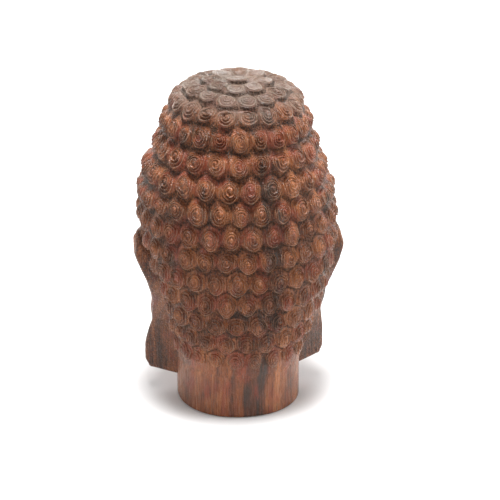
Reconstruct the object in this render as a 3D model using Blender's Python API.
"""A carved wooden Buddha head, cut flat under the neck.

Metres, +Z up. The face looks towards -Y, the head's left ear is at +X, and the origin is the
centre of the neck's underside. Angles run round the head from the middle of the back, which
is 0, past the left ear to the middle of the face, which is pi.
"""

import math

import bmesh
import bpy
import numpy as np

# Driving sizes, in metres
HEIGHT = 0.1838  # from the underside to the wood under the top curl
NECK_HALF_WIDTH = 0.0344
NECK_HALF_DEPTH = 0.0353
CURL_PITCH = 0.0119  # from curl to curl along a row, measured over the curls
ROW_PITCH = 0.01325  # from row to row up the back; the crown's rows are a little closer
TOP_CURL_RADIUS = 0.0067
CURL_RISE = 0.0032  # a curl's shoulder above the groove round it
CURL_CROWN = 0.0012  # a curl's middle above its shoulder
CURL_FLANK = 0.0023  # width of a curl's sloping side
CURL_TILT = 0.06  # how much further out a curl's lower edge stands, for each metre down its face
GROOVE_RISE = 0.0006  # the grooves between the curls above the bare skin
BORDER_DIP = 0.0006  # how far the hair's border lies under the bare skin
HAIR_ROOT = 0.0030  # how deep the sheet of curls reaches into the head
LEFT_LOBE_HEIGHT = 0.0123  # the lobes' ends above the underside
RIGHT_LOBE_HEIGHT = 0.0143

# The head's form is drawn in units, which are millimetres on a head this tall
TOP = 183.8
UNIT = HEIGHT / TOP

# Level sections of the bare wood: height, reach to the back, half width behind the ears,
# half width of the face, reach to the front
SECTIONS = (
    (31, 34.9, 34.7, 35.0, 44.7),
    (44, 38.3, 37.0, 39.9, 48.2),
    (60, 43.2, 41.6, 44.5, 49.3),
    (80, 46.7, 47.5, 47.3, 50.0),
    (100, 48.4, 51.3, 51.0, 50.6),
    (118, 48.3, 51.3, 51.3, 50.2),
    (135, 46.0, 47.7, 47.7, 46.6),
    (150, 42.2, 41.3, 41.2, 41.2),
    (163, 38.0, 36.9, 36.8, 36.6),
)
SECTION_FULLNESS = 2.1  # 2 is an ellipse, more is squarer
NECK_TOP = 23
CROWN_START = 163
CROWN_STEEPNESS = (1.05, 0.56)  # at the back and at the front, where the crown is flatter
JAW_RISE = 12  # how much higher the jaw's border lies by the ear than at the chin
HAIR_START = 28  # the lower edge of the lowest curls, at the back

# How far the hand carving leans its sides towards the left ear, at each height
LEAN = (
    (25, 0.0),
    (40, -0.8),
    (55, -1.4),
    (72, -1.4),
    (88, -0.6),
    (104, 0.2),
    (117, 0.9),
    (128, 1.5),
    (138, 2.3),
    (149, 1.4),
    (159, 0.8),
    (170, 0.4),
)

# Rows whose curls stand straight above those of the row below, as the carver set them
ALIGNED_ROWS = (6, 10)
LOWER_ROWS, LOWER_TURN = 6, math.radians(2.2)  # the lower rows sit turned by that much
LOW_ROWS = {0: 0.45, 1: 0.85}  # the rows that fade into the neck, as shares of the rise
# The rows under the topmost curl, from the top down: how many curls each has, and the angle of one
CROWN_ROWS = ((8, 12), (14, -3), (19, -1), (24, 7))
WORN = (1.0, 0.85, 0.4)  # how worn the crown's curls are, from the top down
WORN_SHARE = 0.55  # how much of its rise a fully worn curl keeps
ZIGZAG = 0.15  # how far the cuts between rows swing to either side, as a share of a row

# Mesh fineness
COLUMNS = 132
SKIN_SHARE = 0.14  # share of the skin's triangles that is kept
EAR_LEVELS = 24
EAR_LATERAL = 15


def smooth_curve(places, values):
    """A curve through the values that never swings past them."""
    places, values = np.asarray(places, float), np.asarray(values, float)
    steps = np.diff(places)
    slopes = np.diff(values) / steps
    tangents = np.zeros(len(places))
    tangents[0], tangents[-1] = slopes[0], slopes[-1]
    for i in range(1, len(places) - 1):
        if slopes[i - 1] * slopes[i] > 0:
            before, after = 2 * steps[i] + steps[i - 1], steps[i] + 2 * steps[i - 1]
            tangents[i] = (before + after) / (before / slopes[i - 1] + after / slopes[i])

    def curve(at):
        at = np.clip(at, places[0], places[-1])
        i = np.clip(np.searchsorted(places, at) - 1, 0, len(steps) - 1)
        t = (at - places[i]) / steps[i]
        rise = values[i + 1] - values[i]
        a, b = steps[i] * tangents[i], steps[i] * tangents[i + 1]
        return values[i] + t * (a + t * (3 * rise - 2 * a - b + t * (a + b - 2 * rise)))

    return curve


def step(at, start, end):
    """0 before start, 1 after end, and smooth between."""
    t = np.clip((at - start) / (end - start), 0.0, 1.0)
    return t * t * (3 - 2 * t)


def swell(x, z, x0, z0, width, height):
    """A soft swelling of height 1 round a point."""
    return np.exp(-(((x - x0) / width) ** 2) - ((z - z0) / height) ** 2)


def dome(x, z, x0, z0, width, height, top):
    """A rounded lump with that top, which falls below the surface round it."""
    q = ((x - x0) / width) ** 2 + ((z - z0) / height) ** 2
    return -2 + (top + 2) * np.sqrt(np.maximum(1 - q, 0)) - 6 * np.maximum(q - 1, 0)


def blend(a, b, softness):
    """The higher of two surfaces, with the corner between them softened."""
    return (a + b + np.sqrt((a - b) ** 2 + softness**2)) / 2


def reach_curves():
    """The skin's reach in units at each height: back, side behind the ear, side of the face, front."""
    depth, width = NECK_HALF_DEPTH / UNIT, NECK_HALF_WIDTH / UNIT
    neck = (depth, width, width, depth)
    heights = [0, NECK_TOP] + [s[0] for s in SECTIONS]
    return [
        smooth_curve(heights, [neck[side], neck[side]] + [s[side + 1] for s in SECTIONS])
        for side in range(4)
    ]


BACK, SIDE_BACK, SIDE_FACE, FRONT = reach_curves()
LEAN_AT = smooth_curve([s[0] for s in LEAN], [s[1] for s in LEAN])


def skin_radius(angle, height):
    """Distance in units from the axis to the skin, up to the start of the crown."""
    facing = -np.cos(angle)
    face_share = step(facing, -0.25, 0.25)
    slant = JAW_RISE * np.sin(angle) ** 2 * face_share * (1 - step(height, 40, 75))
    height = height - slant * step(height, 12, 32)
    half_width = SIDE_BACK(height) * (1 - face_share) + SIDE_FACE(height) * face_share
    reach = np.where(facing > 0, FRONT(height), BACK(height))
    across = (np.abs(np.sin(angle)) / half_width) ** SECTION_FULLNESS
    along = (np.abs(np.cos(angle)) / reach) ** SECTION_FULLNESS
    return (across + along) ** (-1 / SECTION_FULLNESS)


def crown_section(turn):
    """Height and shrink of the crown's sections; turn goes from 0 at its start to pi/2 on top."""
    return CROWN_START + (TOP - CROWN_START) * np.sin(turn), np.cos(turn)


def meridian():
    """Heights and shrinks of the sections up the hair, and the length walked up the back."""
    crown_heights, crown_shrinks = crown_section(np.linspace(0, math.pi / 2, 240))
    heights = np.concatenate([np.linspace(HAIR_START, CROWN_START, 160), crown_heights[1:]])
    shrinks = np.concatenate([np.ones(160), np.maximum(crown_shrinks[1:], 0)])
    reach = BACK(np.minimum(heights, CROWN_START)) * shrinks ** CROWN_STEEPNESS[0]
    walked = np.concatenate([[0], np.cumsum(np.hypot(np.diff(heights), np.diff(reach)))])
    return heights, shrinks, walked


HEIGHTS, SHRINKS, WALKED = meridian()


def form_point(angle, height, shrink):
    """A point of the plain head without hair or face, in units."""
    back, front = CROWN_STEEPNESS
    steepness = front + (back - front) * ((1 + np.cos(angle)) / 2) ** 2.5
    radius = skin_radius(angle, np.minimum(height, CROWN_START)) * shrink**steepness
    x = radius * np.sin(angle) + LEAN_AT(height) * np.sin(angle) ** 2
    return x, radius * np.cos(angle), height + 0 * angle


def hair_point(angle, level):
    """The same point from the level, which is the length walked up the back from HAIR_START.

    On the crown a level is the same share of the way to the top on every side.
    """
    angle, level = (part.astype(float) for part in np.broadcast_arrays(angle, level))
    height, shrink = np.interp(level, WALKED, HEIGHTS), np.interp(level, WALKED, SHRINKS)
    start = float(np.interp(CROWN_START, HEIGHTS, WALKED))
    share = (WALKED[-1] - level) / (WALKED[-1] - start)
    turns = np.linspace(math.pi / 2, 0, 90)
    for place in np.argwhere(share < 1):
        at = tuple(place)
        line = np.stack(form_point(np.full(90, angle[at]), *crown_section(turns)), -1)
        down = np.concatenate([[0], np.cumsum(np.linalg.norm(np.diff(line, axis=0), axis=1))])
        height[at], shrink[at] = crown_section(np.interp(share[at] * down[-1], down, turns))
    return np.stack(form_point(angle, height, shrink), -1)


def hair_normal(angle, level):
    """The outward direction of the skin there."""
    level = np.clip(level, 0.5, WALKED[-1] - 1.0)
    around = hair_point(angle + 0.01, level) - hair_point(angle - 0.01, level)
    up = hair_point(angle, level + 0.4) - hair_point(angle, level - 0.4)
    normal = np.cross(up, around)
    return normal / np.linalg.norm(normal, axis=-1, keepdims=True)


def eyes(x, z):
    """Sockets, eyeballs under heavy lids, and the slit between the lids."""
    skin = -3.4 * swell(x, z, 17.5, 83.5, 13.5, 7.5)
    skin = blend(skin, dome(x, z, 17.6, 79.6, 12.6, 8.6, 2.6), 1.0)
    t = (x - 17.6) / 11.6
    upper = 78.6 - 0.9 * np.cos(math.pi * np.clip(t, -1, 1)) + 1.0 * t
    lower = 76.6 - 1.1 * (1 - np.clip(t * t, 0, 1)) + 0.6 * t + 0.6 * t * t
    slit = step(z, lower - 0.5, lower + 0.3) * (1 - step(z, upper - 0.3, upper + 0.3))
    crease = np.exp(-(((z - upper - 4.6 * (1 - 0.5 * t * t)) / 0.8) ** 2))
    ends = step(1.12 - np.abs(t), 0, 0.25)
    return skin - 1.3 * slit * ends - 0.7 * crease * ends


def brows(x, z):
    """The raised brow lines, crisp below and soft above."""
    away = z - (95.5 - 7.6 * ((x - 20.5) / 17.0) ** 2)
    ridge = np.where(away > 0, np.exp(-((away / 5.0) ** 2)), np.exp(-((away / 1.8) ** 2)))
    return 1.7 * ridge * step(x, 0.5, 7) * (1 - step(x, 31, 39))


def nose(x, z):
    """The straight nose with its tip and wings."""
    down = np.clip((92 - z) / 29, 0, 1)
    top = 2.0 + 9.6 * down**1.25 - 0.35 * np.maximum(z - 92, 0) - 5.0 * np.maximum(63 - z, 0)
    ridge = top - (np.maximum(top, 0) + 2) * (x / (4.6 + 3.2 * down)) ** 2
    tip = dome(x, z, 0, 63.6, 6.2, 5.2, 12.6)
    wing = dome(x, z, 7.0, 62.8, 4.2, 4.4, 7.0)
    nostril = -1.6 * swell(x, z, 4.0, 58.6, 2.0, 1.4)
    return blend(blend(ridge, tip, 1.2), wing, 0.8) + nostril


def mouth(x, z):
    """The full lips with their bow, the groove above them and the hollow below."""
    t = np.clip(x / 15.0, 0, 1)
    line = 50.4 + 1.5 * t**2.5 - 0.6 * np.exp(-((t / 0.28) ** 2))
    above = 4.7 * (1 - t**1.8) + 0.9 * np.exp(-(((t - 0.25) / 0.16) ** 2)) + 0.05
    below = 6.4 * (1 - t**2.2) ** 0.8 + 0.05
    up = np.clip((z - line) / above, 0, 1)
    down = np.clip((line - z) / below, 0, 1)
    upper = 2.5 * np.sqrt(np.maximum(np.sin(math.pi * up**0.75), 0)) * (z >= line)
    lower = 2.9 * np.sqrt(np.maximum(np.sin(math.pi * down**0.8), 0)) * (z < line)
    lips = (upper + lower) * step(1 - t, 0, 0.3)
    parting = np.exp(-(((z - line) / 0.7) ** 2)) * (1 - step(x, 13.5, 17.5))
    groove = swell(x, z, 0, 58.0, 2.2, 2.6)
    hollow = swell(x, z, 0, 41.8, 9.5, 2.8)
    corner = swell(x, z, 16.6, 52.0, 2.4, 3.2)
    return lips - 1.1 * parting - 1.2 * groove - 2.0 * hollow - 1.2 * corner


def face_relief(x, z):
    """How far the carved face stands in front of the plain head, in units."""
    x = np.abs(x)
    relief = eyes(x, z) + brows(x, z)
    relief = relief + 2.8 * swell(x, z, 0, 51.5, 17.5, 11.0)
    relief = relief + 3.2 * swell(x, z, 0, 35.5, 12.5, 7.0)
    relief = relief + 2.2 * swell(x, z, 26.5, 64.0, 13.0, 14.0)
    relief = relief + mouth(x, z)
    relief = blend(relief, nose(x, z), 0.8)
    return blend(relief, dome(x, z, 0, 101, 2.6, 2.6, 1.3), 0.3)


def skin_point(angle, height, shrink):
    """A point of the skin with its carved face, in units."""
    x, y, z = form_point(angle, height, shrink)
    front = step(-np.cos(angle), 0.15, 0.55) * step(height, 20, 30) * (1 - step(height, 112, 122))
    return np.stack([x, y - face_relief(x, height) * front, z], -1)


def clear_scene():
    for obj in list(bpy.data.objects):
        bpy.data.objects.remove(obj, do_unlink=True)


def new_collection(name, hidden=False):
    collection = bpy.data.collections.new(name)
    bpy.context.scene.collection.children.link(collection)
    collection.hide_render = hidden
    return collection


def new_object(name, mesh, collection):
    obj = bpy.data.objects.new(name, mesh)
    collection.objects.link(obj)
    if collection.hide_render:
        obj.hide_render = True
        obj.display_type = "WIRE"
    return obj


def mesh_of(name, points, faces):
    mesh = bpy.data.meshes.new(name)
    mesh.from_pydata([tuple(float(v) * UNIT for v in p) for p in points], [], faces)
    mesh.update()
    return mesh


def loft(rows):
    """Faces that join each row of points to the next, with both ends closed by a fan."""
    count, around = len(rows), len(rows[0])
    points = [p for row in rows for p in row]
    faces = []
    for i in range(count - 1):
        for j in range(around):
            k = (j + 1) % around
            faces.append((i * around + j, i * around + k, (i + 1) * around + k, (i + 1) * around + j))
    for i, order in ((0, -1), (count - 1, 1)):
        points.append(np.mean(rows[i], axis=0))
        for j in range(around):
            k = (j + 1) % around
            faces.append((i * around + j, i * around + k, len(points) - 1)[::order])
    return points, faces


def build_skin(collection):
    """The bare head and neck with its carved face, as one closed form."""
    turn = np.linspace(-math.pi, math.pi, COLUMNS, endpoint=False)
    angles = turn + 0.45 * np.sin(turn)
    levels = [(z, 1.0) for z in np.arange(0, 26, 2.6)]
    levels += [(z, 1.0) for z in np.arange(26, 124, 1.3)]
    levels += [(z, 1.0) for z in np.linspace(124, CROWN_START, 10)]
    levels += [crown_section(t) for t in np.linspace(0, math.pi / 2, 9)[1:-1]]
    points, faces = loft([skin_point(angles, z, shrink) for z, shrink in levels])
    skin = new_object("skin", mesh_of("skin", points, faces), collection)
    coarser = skin.modifiers.new("coarser where it is smooth", "DECIMATE")
    coarser.ratio = SKIN_SHARE
    return skin


def curl_rows():
    """The rows of curls from the neck to the crown: the levels of their edges and their borders."""
    start = float(np.interp(CROWN_START, HEIGHTS, WALKED))
    pitch = ROW_PITCH / UNIT
    count = math.ceil(start / pitch)
    edges = [i * pitch for i in range(count + 1)]
    rest = WALKED[-1] - TOP_CURL_RADIUS / UNIT - edges[-1]
    crown_count = max(1, math.ceil(rest / pitch - 0.1))
    edges += [edges[-1] + (i + 1) * rest / crown_count for i in range(crown_count)]
    turn = np.linspace(0, 2 * math.pi, 241)
    borders, at_border = [], True
    for i in range(len(edges) - 1):
        middle = (edges[i] + edges[i + 1]) / 2
        loop = hair_point(turn, middle) + hair_normal(turn, middle) * CURL_RISE / UNIT
        length = np.linalg.norm(np.diff(loop, axis=0), axis=1).sum() * UNIT
        number = max(6, round(length / CURL_PITCH))
        if i and i not in ALIGNED_ROWS:
            at_border = not at_border
        shift = 0 if at_border else 0.5
        turned = LOWER_TURN if i < LOWER_ROWS else 0
        from_top = len(edges) - 2 - i
        if from_top < len(CROWN_ROWS):
            number, one = CROWN_ROWS[from_top]
            shift, turned = 0.5, math.radians(one)
        borders.append([(k + shift) * 2 * math.pi / number + turned for k in range(number)])
    return edges, borders


def edge_lines(edges, borders):
    """The zigzag lines between the rows: each line's corners, and which of them end each border."""
    pitch = edges[1] - edges[0]
    lines = []
    for i, level in enumerate(edges):
        below = borders[i - 1] if i else [b + math.pi / len(borders[0]) for b in borders[0]]
        above = borders[i] if i < len(borders) else []
        corners = sorted([(b, 0, k) for k, b in enumerate(below)] + [(b, 1, k) for k, b in enumerate(above)])
        merge = 0.16 * 2 * math.pi / len(below)
        line, ends = [], ({}, {})
        for angle, side, k in corners:
            near = line and angle - line[-1][0] < merge
            if near and side not in line[-1][2]:
                line[-1] = [(angle + line[-1][0]) / 2, level, line[-1][2] | {side}]
            else:
                shift = pitch * (ZIGZAG if side else -ZIGZAG) if above else 0
                line.append([angle, level + shift, {side}])
            ends[side][k] = len(line) - 1
        lines.append(with_middles(line, ends, level, 1.3 * merge / 0.16 / 2))
    return lines


def with_middles(line, ends, level, longest):
    """The line with a corner added in the middle of each long stretch, so that no curl is square."""
    fuller, moved = [], {}
    for n, corner in enumerate(line):
        moved[n] = len(fuller)
        fuller.append(corner)
        following = line[(n + 1) % len(line)][0] + (2 * math.pi if n + 1 == len(line) else 0)
        if following - corner[0] > longest:
            fuller.append([(corner[0] + following) / 2, level, set()])
    return fuller, tuple({k: moved[n] for k, n in side.items()} for side in ends)


def in_hair(angle, height):
    """Whether a curl with its middle there belongs to the hair and not to the face, ear or neck."""
    angle = abs((angle + math.pi) % (2 * math.pi) - math.pi)
    if angle < math.radians(97):
        return angle < math.radians(81) or height > 96
    temple = step(angle, math.radians(120), math.radians(152))
    return height > 98 + 25 * temple


def curl_cells():
    """The corners of the curls' cells and, for each curl, its corners and its row."""
    edges, borders = curl_rows()
    lines = edge_lines(edges, borders)
    starts = np.cumsum([0] + [len(line) for line, _ in lines])
    corners = [(angle, level) for line, _ in lines for angle, level, _ in line]
    cells = []
    for i, row in enumerate(borders):
        middle = (edges[i] + edges[i + 1]) / 2
        height = float(np.interp(middle, WALKED, HEIGHTS))
        for k, border in enumerate(row):
            if not in_hair(border + math.pi / len(row), height):
                continue
            loop = []
            for line_index, side, order in ((i, 1, 1), (i + 1, 0, -1)):
                line, ends = lines[line_index]
                first, last = ends[side][k], ends[side][(k + 1) % len(row)]
                span = [(first + n) % len(line) for n in range((last - first) % len(line) + 1)]
                loop += [int(starts[line_index]) + n for n in span][::order]
            cells.append((loop, i))
    top = len(edges) - 1
    cells.append(([int(starts[top]) + n for n in range(len(lines[top][0]))], top))
    return corners, cells, top


def shape_shoulder(face, share):
    """Draws a curl's shoulder towards a circle, and tilts it so that its lower edge stands out."""
    middle, out = face.calc_center_median(), face.normal.copy()
    radius = sum((v.co - middle).length for v in face.verts) / len(face.verts)
    for vert in face.verts:
        away = vert.co - middle
        away = away * (0.3 + 0.7 * radius / away.length)
        vert.co = middle + away - out * (CURL_TILT * share * away.z)


def build_hair(collection):
    """The sheet of curls, as a shell whose inner side lies within the head."""
    corners, cells, top = curl_cells()
    angles, levels = np.array(corners).T
    points, normals = hair_point(angles, levels), hair_normal(angles, levels)
    inner = (points - normals * HAIR_ROOT / UNIT) * UNIT
    outer = (points + normals * GROOVE_RISE / UNIT) * UNIT
    dipped = (points - normals * BORDER_DIP / UNIT) * UNIT
    used = sorted({n for loop, _ in cells for n in loop})
    place = {n: i for i, n in enumerate(used)}
    bm = bmesh.new()
    number = bm.verts.layers.int.new("number")
    row_of = bm.faces.layers.int.new("row")
    for n in used:
        vert = bm.verts.new(inner[n])
        vert[number] = n
    bm.verts.ensure_lookup_table()
    for loop, row in cells:
        face = bm.faces.new([bm.verts[place[n]] for n in reversed(loop)])
        face[row_of] = row + 1
    at_border = {v[number] for v in bm.verts if v.is_boundary}
    made = bmesh.ops.extrude_face_region(bm, geom=bm.faces[:], use_keep_orig=True)["geom"]
    sheet = [f for f in made if isinstance(f, bmesh.types.BMFace)]
    for vert in {v for f in sheet for v in f.verts}:
        vert.co = (dipped if vert[number] in at_border else outer)[vert[number]]
    by_row = {row: [f for f in sheet if f[row_of] == row + 1] for row in range(top + 1)}
    for row, faces in by_row.items():
        worn = WORN[top - row] if top - row < len(WORN) else 0
        share = LOW_ROWS.get(row, 1 - worn * (1 - WORN_SHARE))
        rise = CURL_RISE * share
        bmesh.ops.inset_individual(bm, faces=faces, thickness=CURL_FLANK, depth=rise, use_even_offset=True)
        for face in faces:
            shape_shoulder(face, (1 - worn) * share)
        bmesh.ops.poke(bm, faces=faces, offset=CURL_CROWN * (1 - worn) * share)
    bmesh.ops.recalc_face_normals(bm, faces=bm.faces[:])
    mesh = bpy.data.meshes.new("hair")
    bm.to_mesh(mesh)
    bm.free()
    return new_object("hair", mesh, collection)


# The ear's level sections: height over the lobe's end, front x, front y, rim x, rim y, back y
EAR_SECTIONS = (
    (0, 35.0, -21.0, 48.2, -15.0, 1.0),
    (3.5, 36.0, -24.0, 50.0, -16.5, 2.0),
    (11.5, 37.0, -26.0, 50.2, -17.0, 3.0),
    (21.5, 39.0, -26.5, 49.2, -15.5, 3.0),
    (31.5, 41.0, -26.0, 47.8, -10.5, 4.0),
    (43.5, 42.0, -25.0, 47.5, -4.0, 6.5),
    (55.5, 42.5, -24.5, 50.4, 1.0, 8.0),
    (67.5, 43.0, -24.0, 54.5, 3.5, 9.0),
    (75.5, 44.0, -23.0, 57.0, 3.5, 9.0),
    (81.5, 47.0, -20.0, 57.4, 0.5, 6.0),
    (85.5, 50.0, -14.5, 56.0, -6.0, 1.0),
)
EAR_TOP = 98
EAR_RIM = 2.4  # radius of the rim's rounding
# The ear's ridges, as places across it (28 from its front to its rim) and heights over the lobe's end
HELIX = ((9, 58), (4.5, 61.5), (3, 68), (5, 76), (12, 81), (20, 82), (26, 76.5), (27, 66), (27, 54), (26.5, 43), (26, 30))
FOLD = ((10, 42), (15, 43.5), (18.5, 49), (19, 57), (17.5, 63.5), (14.5, 69), (13, 75))
FORK = ((17.5, 63), (12.5, 67), (8, 68.5))
EAR_CURVES = [smooth_curve([s[0] for s in EAR_SECTIONS], [s[c] for s in EAR_SECTIONS]) for c in range(1, 6)]


def near_line(u, h, line, width):
    """1 on the line and less further away, which makes a rounded ridge along it."""
    place = np.stack([u * 28, np.full_like(u, h)], -1)
    away = np.full(len(u), np.inf)
    for first, second in zip(np.array(line[:-1], float), np.array(line[1:], float)):
        stretch = second - first
        share = np.clip((place - first) @ stretch / (stretch @ stretch), 0, 1)
        away = np.minimum(away, np.linalg.norm(place - first - share[:, None] * stretch, axis=1))
    return np.exp(-((away / width) ** 2))


def ear_relief(u, h):
    """The ear's carving, outward from its plain side; u runs from its front to its rim."""
    rim_fade = step(h, 24, 40)
    helix = 2.6 * near_line(u, h, HELIX, 2.6) * rim_fade
    fold = 2.4 * near_line(u, h, FOLD, 2.7) + 1.4 * near_line(u, h, FORK, 2.2)
    inside = -2.2 * swell(u, h, 0.62, 60.0, 0.36, 17.0) - 3.6 * swell(u, h, 0.36, 54.0, 0.20, 9.0)
    knobs = 2.2 * swell(u, h, 0.10, 51.0, 0.10, 4.6) + 1.2 * swell(u, h, 0.40, 42.0, 0.12, 3.4)
    lobe = -1.3 * swell(u, h, 0.55, 17.0, 0.17, 12.0)
    return helix + fold + inside + knobs + lobe


def ear_loop(h, height):
    """One level section of the left ear, from within the head out round the rim and back."""
    front_x, front_y, rim_x, rim_y, back_y = (float(curve(h)) for curve in EAR_CURVES)
    front, rim_end = np.array([front_x, front_y]), np.array([rim_x, rim_y])
    along = (rim_end - front) / np.linalg.norm(rim_end - front)
    out = np.array([along[1], -along[0]])
    u = np.linspace(0, 1, EAR_LATERAL)
    side = np.outer(1 - u, front) + np.outer(u, rim_end)
    plump = 0.09 * np.linalg.norm(rim_end - front) * np.sin(math.pi * u)
    side = side + np.outer(plump + ear_relief(u, h), out)
    middle = side[-1] - out * EAR_RIM
    root = np.array([float(skin_radius(math.radians(82), height)) - 2, back_y])
    away = root - middle
    tangent = math.atan2(away @ along, away @ out) % (2 * math.pi) - math.acos(EAR_RIM / np.linalg.norm(away))
    turn = np.linspace(0, tangent, 5)[1:, None]
    rim = middle + EAR_RIM * (np.cos(turn) * out + np.sin(turn) * along)
    back = [rim[-1] + (root - rim[-1]) * t for t in (0.5, 1.0)]
    loop = np.array([*side, *rim, *back, (24.0, back_y - 4), (24.0, front_y + 5)])
    return np.column_stack([loop, np.full(len(loop), height)])


def build_ear(name, side, lobe_height, collection):
    """An ear with its long lobe; side is 1 for the left and -1 for the right."""
    bottom = lobe_height / UNIT
    rows = []
    for h in np.linspace(0, EAR_SECTIONS[-1][0], EAR_LEVELS):
        rows.append(ear_loop(h, bottom + 0.9 + h * (EAR_TOP - bottom - 0.9) / EAR_SECTIONS[-1][0]))
    for end, slim, rise in ((0, (0.9, 0.85, 1), -0.9), (-1, (0.8, 0.7, 1), 1.3)):
        centre = rows[end].mean(axis=0)
        capped = centre + (rows[end] - centre) * slim + (0, 0, rise)
        rows.insert(0 if end == 0 else len(rows), capped)
    points, faces = loft(rows)
    placed = [(side * x + float(LEAN_AT(z)), y, z) for x, y, z in points]
    return new_object(name, mesh_of(name, placed, [f[::side] for f in faces]), collection)


def rosewood():
    material = bpy.data.materials.new("rosewood")
    material.use_nodes = True
    surface = material.node_tree.nodes["Principled BSDF"]
    surface.inputs["Base Color"].default_value = (0.19, 0.065, 0.03, 1)
    surface.inputs["Roughness"].default_value = 0.4
    return material


def build():
    clear_scene()
    head_parts = new_collection("wooden_buddha_head")
    helpers = new_collection("joined_forms", hidden=True)
    head = build_skin(head_parts)
    head.name = "carved_head"
    left = build_ear("ear_left", 1, LEFT_LOBE_HEIGHT, helpers)
    right = build_ear("ear_right", -1, RIGHT_LOBE_HEIGHT, helpers)
    for other in (left, right, build_hair(helpers)):
        union = head.modifiers.new("join " + other.name, "BOOLEAN")
        union.operation = "UNION"
        union.object = other
    head.data.materials.append(rosewood())
    for polygon in head.data.polygons:
        polygon.use_smooth = True


build()
